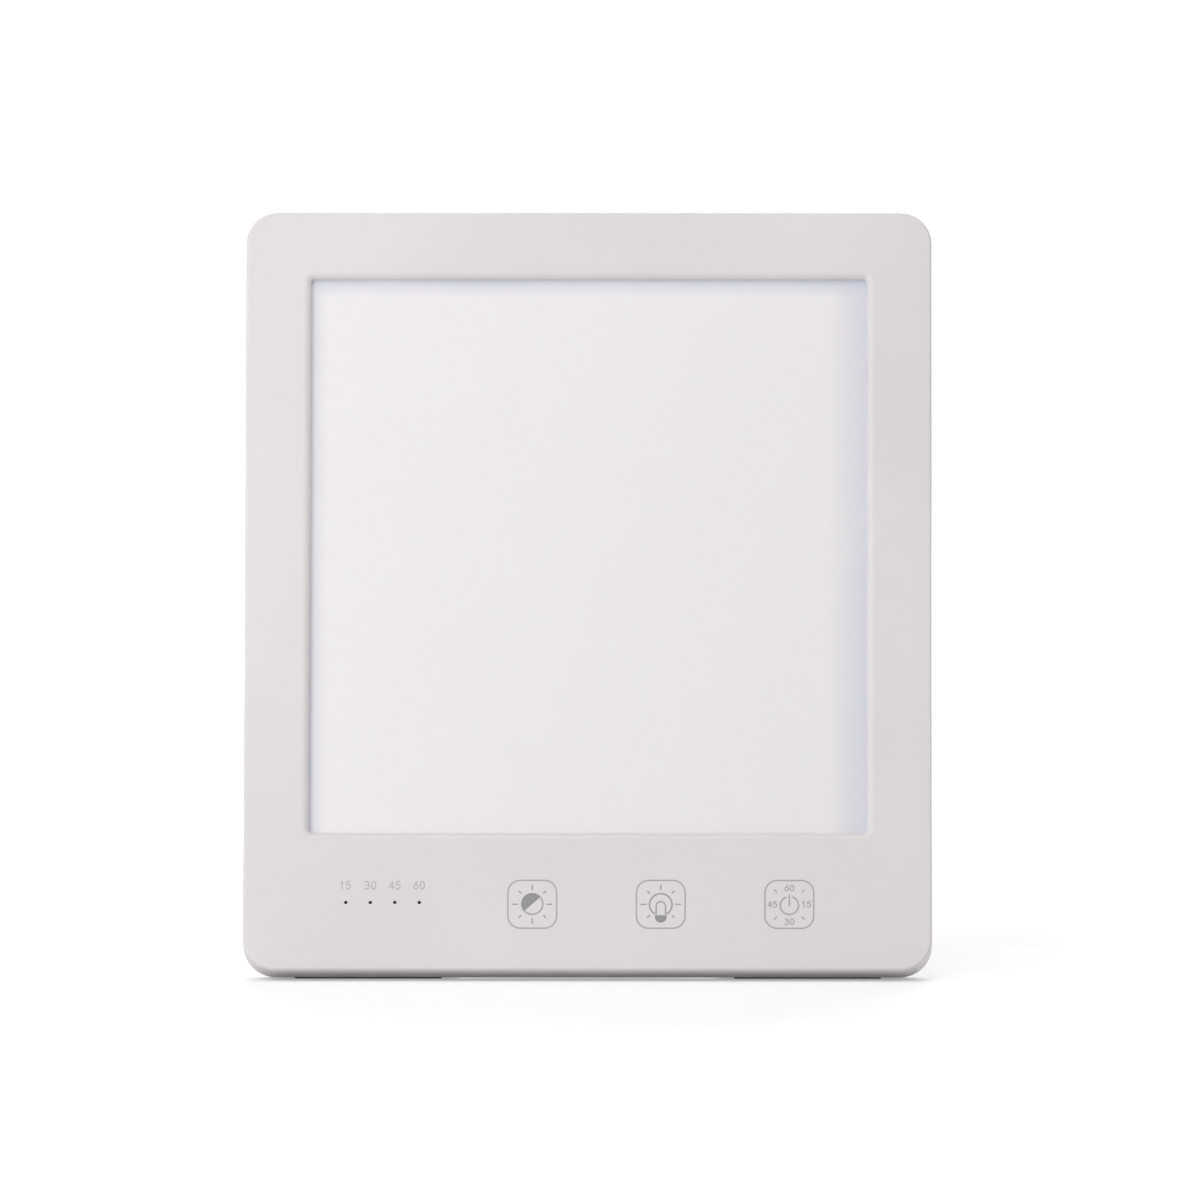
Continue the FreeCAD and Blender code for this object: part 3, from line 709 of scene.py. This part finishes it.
@dataclass(frozen=True)
class TouchFields:
    """Three printed touch fields on the lower margin, and the scale of minutes."""

    frame_of: SlabFrame
    height: float = 20.9
    places: tuple[float, ...] = (-17.2, 22.9, 63.0)
    half_side: float = 7.6
    corner: float = 4.1
    outline: float = 0.46
    fine: float = 0.42
    heavy: float = 0.5
    square_ray: Flat = (4.6, 6.1)
    slant_ray: Flat = (5.0, 5.9)
    tick: Flat = (5.6, 6.6)
    disc_radius: float = 3.5
    disc_rise: float = 0.1
    bulb_drop: float = 0.1
    base_radius: float = 1.85
    base_drop: float = 3.95
    arch_radius: float = 1.45
    arch_drop: float = 0.6
    arch_foot: float = 3.1
    power_radius: float = 2.85
    power_drop: float = 0.35
    power_bar: Flat = (2.9, -0.4)
    dial: tuple[tuple[str, float, float], ...] = (
        ("60", 0.0, 5.2), ("15", 5.3, 0.0), ("30", 0.0, -5.5), ("45", -5.3, 0.0))
    dial_digits: StrokeDigits = StrokeDigits(1.8, 1.15, 0.5, 0.36)
    minute_digits: StrokeDigits = StrokeDigits(2.4, 1.3, 0.7, 0.34)
    numbers_height: float = 26.9
    number_places: tuple[float, ...] = (-75.6, -67.7, -60.1, -52.5)

    def edge(self, ink: InkMesh, x: float) -> None:
        """Print a field's rounded outline."""
        middle, half_line = (x, self.height), self.outline / 2
        outer = rounded_square(middle, self.half_side + half_line, self.corner)
        inner = rounded_square(middle, self.half_side - half_line, self.corner - self.outline)
        ink.band(outer, inner)

    def rays(self, ink: InkMesh, x: float, angles: Sequence[float], reach: Flat) -> None:
        """Print short rays round a field's middle.

        Args:
            ink: Mesh that takes them.
            x: Sideways place of the field.
            angles: Their directions in degrees.
            reach: Distances of their inner and outer ends.
        """
        for angle in angles:
            way = Vector((math.cos(math.radians(angle)), math.sin(math.radians(angle))))
            middle = Vector((x, self.height))
            ink.stroke([tuple(middle + way * far) for far in reach], self.fine)

    def outlines(self, ink: InkMesh) -> None:
        """Print the outline of each field."""
        for x in self.places:
            self.edge(ink, x)

    def brightness_fill(self, ink: InkMesh) -> None:
        """Print the dark half of the brightness disc."""
        ink.shape(arc((self.places[0], self.height + self.disc_rise), self.disc_radius, 42, 180))

    def brightness_lines(self, ink: InkMesh) -> None:
        """Print the light half's rim and eight rays."""
        x = self.places[0]
        rim = arc((x, self.height + self.disc_rise), self.disc_radius - self.fine / 2, -133, 170, 30)
        ink.stroke(rim, self.fine)
        self.rays(ink, x, range(0, 360, 90), self.square_ray)
        self.rays(ink, x, range(45, 360, 90), self.slant_ray)

    def warmth_fill(self, ink: InkMesh) -> None:
        """Print the bulb's filled base."""
        ink.shape(arc((self.places[1], self.height - self.base_drop), self.base_radius, 165, 210))

    def warmth_lines(self, ink: InkMesh) -> None:
        """Print the bulb's glass, open at the foot, the arch inside it and seven rays."""
        x, z = self.places[1], self.height
        ink.stroke(arc((x, z - self.bulb_drop), self.disc_radius, -56, 292, 48), self.heavy)
        right, left = ((x + side * self.arch_radius, z - self.arch_foot) for side in (1, -1))
        ink.stroke([right] + arc((x, z - self.arch_drop), self.arch_radius, 0, 180) + [left], self.fine)
        self.rays(ink, x, range(0, 181, 90), self.square_ray)
        self.rays(ink, x, (-45, 45, 135, 225), self.slant_ray)

    def timer_lines(self, ink: InkMesh) -> None:
        """Print the power mark with four numbers of minutes and four ticks."""
        x, z = self.places[2], self.height
        ink.stroke(arc((x, z - self.power_drop), self.power_radius, 112, 316, 48), self.heavy)
        ink.stroke([(x, z + rise) for rise in self.power_bar], self.heavy)
        for text, across, rise in self.dial:
            self.dial_digits.print_on(ink, text, (x + across, z + rise))
        self.rays(ink, x, range(45, 360, 90), self.tick)

    def minute_numbers(self, ink: InkMesh) -> None:
        """Print the minutes above the four indicator lights."""
        for text, x in zip(("15", "30", "45", "60"), self.number_places):
            self.minute_digits.print_on(ink, text, (x, self.numbers_height))

    def build(self, made: dict[str, bpy.types.Material]) -> None:
        """Print everything on the lower margin.

        Args:
            made: Materials by finish name.
        """
        jobs = {
            "touch_field_outlines": ("outline_ink", self.outlines),
            "brightness_disc": ("fill_ink", self.brightness_fill),
            "brightness_rays": ("line_ink", self.brightness_lines),
            "warmth_base": ("fill_ink", self.warmth_fill),
            "warmth_bulb": ("line_ink", self.warmth_lines),
            "timer_mark": ("outline_ink", self.timer_lines),
            "minute_numbers": ("number_ink", self.minute_numbers),
        }
        for name, (finish, step) in jobs.items():
            ink = InkMesh()
            step(ink)
            make_piece(name, ink.mesh, self.frame_of.slab(), made[finish], Body.HOUSING)


@dataclass(frozen=True)
class CornerScrews:
    """Pan-head screws with a cross recess and a cut thread, down in the cover's counterbores."""

    frame_of: SlabFrame
    places: tuple[Flat, ...] = ((-99.5, 36.0), (99.5, 36.0))
    seat: float = 13.5
    head: float = 2.0
    head_radius: float = 2.7
    shank_radius: float = 1.4
    thread_depth: float = 0.25
    pitch: float = 1.0
    length: float = 10.3
    tip_length: float = 1.2
    tip_radius: float = 0.5
    thread_steps: int = 96
    thread_sides: int = 24
    recess_width: float = 0.7
    recess_reach: float = 1.5
    recess_depth: float = 1.1

    def shank(self, mesh: bmesh.types.BMesh, x: float, z: float) -> None:
        """Add the threaded shank, which runs toward the front.

        Args:
            mesh: Mesh that takes it.
            x: Sideways place.
            z: Height on the slab.
        """
        rings = []
        for k in range(self.thread_steps + 1):
            along = self.length * k / self.thread_steps
            ring = []
            for i in range(self.thread_sides):
                turn = i / self.thread_sides
                phase = (along / self.pitch - turn) % 1.0
                radius = self.shank_radius - self.thread_depth * abs(2 * phase - 1)
                taper = self.shank_radius * (self.length - along) / self.tip_length + self.tip_radius
                radius = min(radius, taper)
                ring.append(Vector((x + radius * math.cos(math.tau * turn), self.seat - along,
                                    z + radius * math.sin(math.tau * turn))))
            rings.append(ring)
        loft(mesh, rings)

    def head_with_recess(self, mesh: bmesh.types.BMesh, x: float, z: float) -> None:
        """Add a domed head whose top has a cross cut in it.

        Args:
            mesh: Mesh that takes it.
            x: Sideways place.
            z: Height on the slab.
        """
        half, reach = self.recess_width / 2, self.recess_reach
        arm = cross = [(reach, half), (half, half), (half, reach)]
        for _ in range(3):
            arm = [(-cz, cx) for cx, cz in arm]
            cross = cross + arm
        rings = []
        profile = [(0.0, self.head_radius), (0.55, self.head_radius), (0.8, 0.93 * self.head_radius),
                   (0.95, 0.82 * self.head_radius)]
        for share, radius in profile:
            ring = []
            for i, (cx, cz) in enumerate(cross):
                turn = math.atan2(cz, cx)
                ring.append(Vector((x + radius * math.cos(turn), self.seat + self.head * share,
                                    z + radius * math.sin(turn))))
            rings.append(ring)
        for share, depth in ((1.0, 0.0), (0.7, self.recess_depth)):
            rings.append([Vector((x + cx * share, self.seat + self.head - depth, z + cz * share))
                          for cx, cz in cross])
        loft(mesh, rings, False)

    def build(self, finish: bpy.types.Material) -> None:
        """Make both screws and let them stand for the plain ones."""
        mesh = bmesh.new()
        for x, z in self.places:
            self.shank(mesh, x, z)
            self.head_with_recess(mesh, x, z)
        piece = make_piece("corner_screws", mesh, self.frame_of.slab(), finish, Body.HOUSING)
        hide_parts("housing_screws")


@dataclass(frozen=True)
class RubberSoles:
    """Grooved rubber: two pads under the slab's lower edge and a strip let into the stand's end.

    A section across a sole is given as distances from its middle and heights above the table.
    """

    frame_of: SlabFrame
    pad_ends: Flat = (45.6, 91.6)
    pad_middle: float = -27.1782
    pad_width: float = 5.6
    pad_height: float = 1.6
    strip_end: float = 31.0
    strip_middle: float = 1.25
    strip_width: float = 3.0
    strip_height: float = 4.8
    strip_reach: float = 146.683
    rim: float = 0.25
    groove_width: float = 0.7
    groove_depth: float = 0.35
    groove_inset: float = 1.4

    def section(self, width: float, height: float, grooves: int, depth: float, lift: float) -> list[Flat]:
        """Outline across a sole.

        Args:
            width: Its width.
            height: Its height.
            grooves: Number of grooves side by side.
            depth: Their depth.
            lift: Height of the tread above the table.

        Returns:
            Its points, from the front rim round the tread to the top.
        """
        half = width / 2
        outline = [(-half, lift + self.rim), (-half + self.rim, lift)]
        for i in range(grooves):
            middle = width * ((i + 1) / (grooves + 1) - 0.5)
            for share, rise in ((-0.5, 0.0), (-0.3, depth), (0.3, depth), (0.5, 0.0)):
                outline.append((middle + share * self.groove_width, lift + rise))
        return outline + [(half - self.rim, lift), (half, lift + self.rim), (half, height), (-half, height)]

    def sole(
        self, mesh: bmesh.types.BMesh, ends: Flat, width: float, height: float, grooves: int,
        place: Callable[[float, float, float], Vector],
    ) -> None:
        """Add one sole, whose grooves stop short of its bevelled ends.

        Args:
            mesh: Mesh that takes it.
            ends: Sideways places of its ends.
            width: Its width.
            height: Its height.
            grooves: Number of grooves side by side.
            place: Gives the point for a sideways place, a distance across and a height.
        """
        start, end = ends
        stations = ((0.0, self.rim, 0.0), (self.rim, 0.0, 0.0), (self.groove_inset, 0.0, 0.0),
                    (self.groove_inset + self.groove_depth, 0.0, self.groove_depth))
        rings = []
        for x, way, order in ((start, 1, stations), (end, -1, stations[::-1])):
            for inset, lift, depth in order:
                outline = self.section(width, height, grooves, depth, lift)
                rings.append([place(x + way * inset, across, rise) for across, rise in outline])
        loft(mesh, rings, False)

    def on_slab(self, x: float, across: float, rise: float) -> Vector:
        """Point of a pad, square to the table."""
        return Vector((x, self.pad_middle + across, rise))

    def on_stand(self, x: float, across: float, rise: float) -> Vector:
        """Point of the strip, whose tread is square to the table while the stand is open."""
        tilt = math.radians(self.frame_of.open_deg - self.frame_of.lean_deg)
        y = self.strip_middle + across
        return Vector((x, y, rise - self.strip_reach - y * math.tan(tilt)))

    def build(self, finish: bpy.types.Material) -> None:
        """Make the pads and the strip and let them stand for the plain ones."""
        pads, strip = bmesh.new(), bmesh.new()
        near, far = self.pad_ends
        for ends in ((-far, -near), (near, far)):
            self.sole(pads, ends, self.pad_width, self.pad_height, 2, self.on_slab)
        strip_ends = (-self.strip_end, self.strip_end)
        self.sole(strip, strip_ends, self.strip_width, self.strip_height, 1, self.on_stand)
        for name, node, mesh, place, body in (
            ("grooved_pads", "foot_pads", pads, Matrix.Scale(MM, 4), Body.HOUSING),
            ("grooved_strip", "stand_foot", strip, self.frame_of.stand(), Body.STAND),
        ):
            piece = make_piece(name, mesh, place, finish, body)
            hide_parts(node)


@dataclass(frozen=True)
class CadFinishes:
    """Finishes of the construction's own nodes, as node names by finish name."""

    nodes: dict[str, tuple[str, ...]]

    def apply(self, made: dict[str, bpy.types.Material]) -> None:
        """Give each node its finish.

        Args:
            made: Materials by finish name.
        """
        for finish, names in self.nodes.items():
            for name in names:
                node = frame["nodes"][name]
                node.data.materials.clear()
                node.data.materials.append(made[finish])
                log.info("finished %s in %s", name, finish)


@dataclass(frozen=True)
class Stage:
    """Pale floor that shows the lamp's shadow near it and runs out into plain white."""

    colour: Colour
    side: float = 24.0
    near: float = 0.3
    far: float = 0.9
    lift: float = 0.29
    full: float = 1.2

    def build(self) -> None:
        """Make the floor and its material."""
        mesh = bmesh.new()
        bmesh.ops.create_grid(mesh, x_segments=1, y_segments=1, size=self.side / 2)
        data = bpy.data.meshes.new("floor")
        mesh.to_mesh(data)
        mesh.free()
        floor = bpy.data.objects.new("floor", data)
        bpy.context.scene.collection.objects.link(floor)
        data.materials.append(self.material())

    def material(self) -> bpy.types.Material:
        """Build the floor's material, which adds white where the floor itself is looked at."""
        graph = ShaderGraph("studio_floor")
        graph.colour(graph.blend(graph.noise(3.0), self.colour, tuple(c * 0.99 for c in self.colour)))
        graph.roughness(graph.spread(graph.noise(40.0), (0.3, 0.7), (0.8, 0.95)))
        graph.fix(Specular_IOR_Level=0.1)
        seen = seen_rays(graph)
        length = graph.add("ShaderNodeVectorMath", operation="LENGTH")
        graph.link(graph.place, length.inputs[0])
        lift = graph.spread(length.outputs["Value"], (self.near, self.far), (self.lift, self.full))
        graph.surface.inputs["Emission Color"].default_value = (1, 1, 1, 1)
        graph.link(graph.maths("MULTIPLY", seen, lift), graph.surface.inputs["Emission Strength"])
        return graph.material


def seen_rays(graph: ShaderGraph) -> bpy.types.NodeSocket:
    """One where a ray comes from the camera, a reflection or a clear piece, and zero elsewhere.

    Args:
        graph: Material or world graph that takes the nodes.

    Returns:
        The mask.
    """
    path = graph.add("ShaderNodeLightPath")
    glossy = graph.maths("MAXIMUM", path.outputs["Is Camera Ray"], path.outputs["Is Glossy Ray"])
    return graph.maths("MAXIMUM", glossy, path.outputs["Is Transmission Ray"])


@dataclass(frozen=True)
class SoftLamp:
    """One soft lamp of the studio."""

    name: str
    place: tuple[float, float, float]
    side: float
    watts: float
    tint: Colour

    def build(self, aim: Vector) -> None:
        """Hang the lamp and turn it to a point."""
        data = bpy.data.lights.new(self.name, "AREA")
        data.shape = "DISK"
        data.size = self.side
        data.energy = self.watts
        data.color = self.tint
        lamp = bpy.data.objects.new(self.name, data)
        lamp.location = self.place
        lamp.rotation_mode = "QUATERNION"
        lamp.rotation_quaternion = (aim - Vector(self.place)).to_track_quat("-Z", "Y")
        lamp.visible_camera = False
        bpy.context.scene.collection.objects.link(lamp)


@dataclass(frozen=True)
class Studio:
    """Even, soft studio light: a large lamp at the upper left, weaker ones round it, and a pale room."""

    lamps: tuple[SoftLamp, ...]
    room: float

    def build(self) -> None:
        """Hang the lamps and set the room's light."""
        low, high = cad_box
        for lamp in self.lamps:
            lamp.build((low + high) / 2)
        world = bpy.data.worlds.new("studio_room")
        world.use_nodes = True
        tree = world.node_tree
        path = tree.nodes.new("ShaderNodeLightPath")
        background = tree.nodes["Background"]
        background.inputs["Color"].default_value = (1, 1, 1, 1)
        seen = path.outputs["Is Camera Ray"]
        for name in ("Is Glossy Ray", "Is Transmission Ray"):
            larger = tree.nodes.new("ShaderNodeMath")
            larger.operation = "MAXIMUM"
            tree.links.new(seen, larger.inputs[0])
            tree.links.new(path.outputs[name], larger.inputs[1])
            seen = larger.outputs[0]
        level = tree.nodes.new("ShaderNodeMapRange")
        level.inputs["To Min"].default_value = self.room
        level.inputs["To Max"].default_value = 1.0
        tree.links.new(seen, level.inputs["Value"])
        tree.links.new(level.outputs["Result"], background.inputs["Strength"])
        bpy.context.scene.world = world


@dataclass(frozen=True)
class PhotoCamera:
    """Camera at the photograph's viewing angle."""

    elevation_deg: float = 3.4
    azimuth_deg: float = 0.5
    distance: float = 8.0
    lens: float = 766.2
    sensor: float = 36.0
    farthest: float = 50.0
    aim: tuple[float, float, float] = (0.0036, 0.0, 0.1167)

    def build(self) -> None:
        """Make the camera and use it."""
        data = bpy.data.cameras.new("photo_camera")
        data.lens = self.lens
        data.sensor_width = self.sensor
        data.clip_end = self.farthest
        camera = bpy.data.objects.new("photo_camera", data)
        up, side = math.radians(self.elevation_deg), math.radians(self.azimuth_deg)
        back = Vector((math.sin(side) * math.cos(up), -math.cos(side) * math.cos(up), math.sin(up)))
        camera.location = Vector(self.aim) + back * self.distance
        camera.rotation_mode = "QUATERNION"
        camera.rotation_quaternion = (-back).to_track_quat("-Z", "Y")
        bpy.context.scene.collection.objects.link(camera)
        bpy.context.scene.camera = camera


FINISHES = (
    MouldedPlastic("bezel_white", srgb(228, 223, 224), srgb(223, 218, 220)),
    MouldedPlastic("cover_white", srgb(226, 221, 223), srgb(221, 216, 219), 0.48, 3600.0, 0.02),
    # The third colour of each OpalSheet is its painted bluish shade along the left, right and top edges.
    OpalSheet("opal_panel", srgb(241, 237, 239), srgb(240, 236, 236), srgb(207, 211, 224), (75.0, 90.0),
              (-82.0, -89.5), (210.8, 216.6)),
    OpalSheet("optical_film", srgb(240, 240, 240), srgb(234, 234, 236), srgb(232, 234, 238), (80.0, 92.0),
              (-80.0, -92.0), (205.0, 218.0)),
    ClearSheet("clear_guide", srgb(240, 246, 246), srgb(228, 238, 238)),
    ClearSheet("smoked_lens", srgb(60, 60, 64), srgb(40, 40, 44)),
    DrawnMetal("mill_aluminium", srgb(206, 208, 210), srgb(194, 196, 198), (0.05, 1, 1), 0.44),
    DrawnMetal("zinc_steel", srgb(190, 190, 194), srgb(160, 160, 166), (1, 0.1, 1), 0.28),
    DrawnMetal("tinned_brass", srgb(214, 200, 160), srgb(186, 168, 122), (0.1, 1, 1), 0.24),
    SoftRubber("grey_rubber", srgb(88, 88, 90), srgb(128, 127, 126)),
    SoftRubber("dark_foam", srgb(62, 62, 64), srgb(84, 84, 86), 900.0, 0.25, 0.85),
    SoftRubber("thermal_tape", srgb(176, 180, 190), srgb(196, 198, 204), 1800.0, 0.02, 0.6),
    MouldedPlastic("phosphor", srgb(236, 214, 120), srgb(226, 196, 92), 0.35, 2600.0, 0.01, 600.0),
    MouldedPlastic("socket_black", srgb(44, 44, 46), srgb(34, 34, 36), 0.38, 4200.0, 0.012, 60.0),
    MouldedPlastic("package_black", srgb(52, 52, 54), srgb(40, 40, 42), 0.5, 5200.0, 0.02, 90.0),
    MouldedPlastic("nylon", srgb(232, 228, 214), srgb(222, 216, 198), 0.42, 3000.0, 0.012, 60.0),
    MouldedPlastic("lead_red", srgb(176, 40, 36), srgb(150, 30, 28), 0.5, 3000.0, 0.012, 60.0),
    BoardLaminate("green_board", srgb(36, 104, 62), srgb(70, 142, 92), srgb(206, 200, 176)),
    PadInk("outline_ink", srgb(172, 171, 173), srgb(186, 185, 187)),
    PadInk("fill_ink", srgb(146, 146, 147), srgb(160, 160, 161)),
    PadInk("line_ink", srgb(160, 160, 161), srgb(172, 172, 173)),
    PadInk("number_ink", srgb(180, 180, 184), srgb(194, 194, 197)),
)

NODE_FINISHES = {
    "bezel_white": ("front_bezel",),
    "cover_white": ("back_cover", "stand_leg"),
    "opal_panel": ("diffuser_panel",),
    "optical_film": ("prism_sheet", "reflector_sheet"),
    "clear_guide": ("light_guide",),
    "smoked_lens": ("light_pipe",),
    "mill_aluminium": ("led_bar_left", "led_bar_right", "heat_plate", "board_capacitors"),
    "phosphor": ("led_chips_left", "led_chips_right", "indicator_leds"),
    "thermal_tape": ("thermal_tapes",),
    "dark_foam": ("foam_pads", "touch_pads"),
    "green_board": ("control_board",),
    "package_black": ("board_chip", "boost_inductor"),
    "nylon": ("lead_connectors",),
    "lead_red": ("led_leads",),
    "socket_black": ("dc_socket",),
    "tinned_brass": ("dc_pin",),
    "zinc_steel": ("hinge_pin", "friction_washers", "housing_screws"),
    "grey_rubber": ("foot_pads", "stand_foot"),
}

STUDIO = Studio(
    lamps=(
        SoftLamp("key_lamp", (-0.95, -1.0, 0.95), 0.8, 4.8, (1.0, 1.0, 0.99)),
        SoftLamp("top_lamp", (-0.05, -0.6, 1.1), 0.6, 2.4, (1.0, 1.0, 1.0)),
        SoftLamp("low_lamp", (-0.38, -0.55, 0.12), 0.35, 0.74, (1.0, 1.0, 1.0)),
        SoftLamp("back_lamp", (0.1, 2.0, 1.4), 1.4, 24.0, (1.0, 1.0, 1.0)),
    ),
    room=0.48,
)


def main() -> None:
    """Dress the lamp, then set the stage, the lamps and the camera."""
    made = {finish.name: finish.material() for finish in FINISHES}
    slab = SlabFrame()
    CadFinishes(NODE_FINISHES).apply(made)
    TouchFields(slab).build(made)
    CornerScrews(slab).build(made["zinc_steel"])
    RubberSoles(slab).build(made["grey_rubber"])
    Stage(srgb(235, 235, 235)).build()
    STUDIO.build()
    PhotoCamera().build()
    bpy.context.scene.view_settings.view_transform = "Standard"


if __name__ == "__main__":
    main()
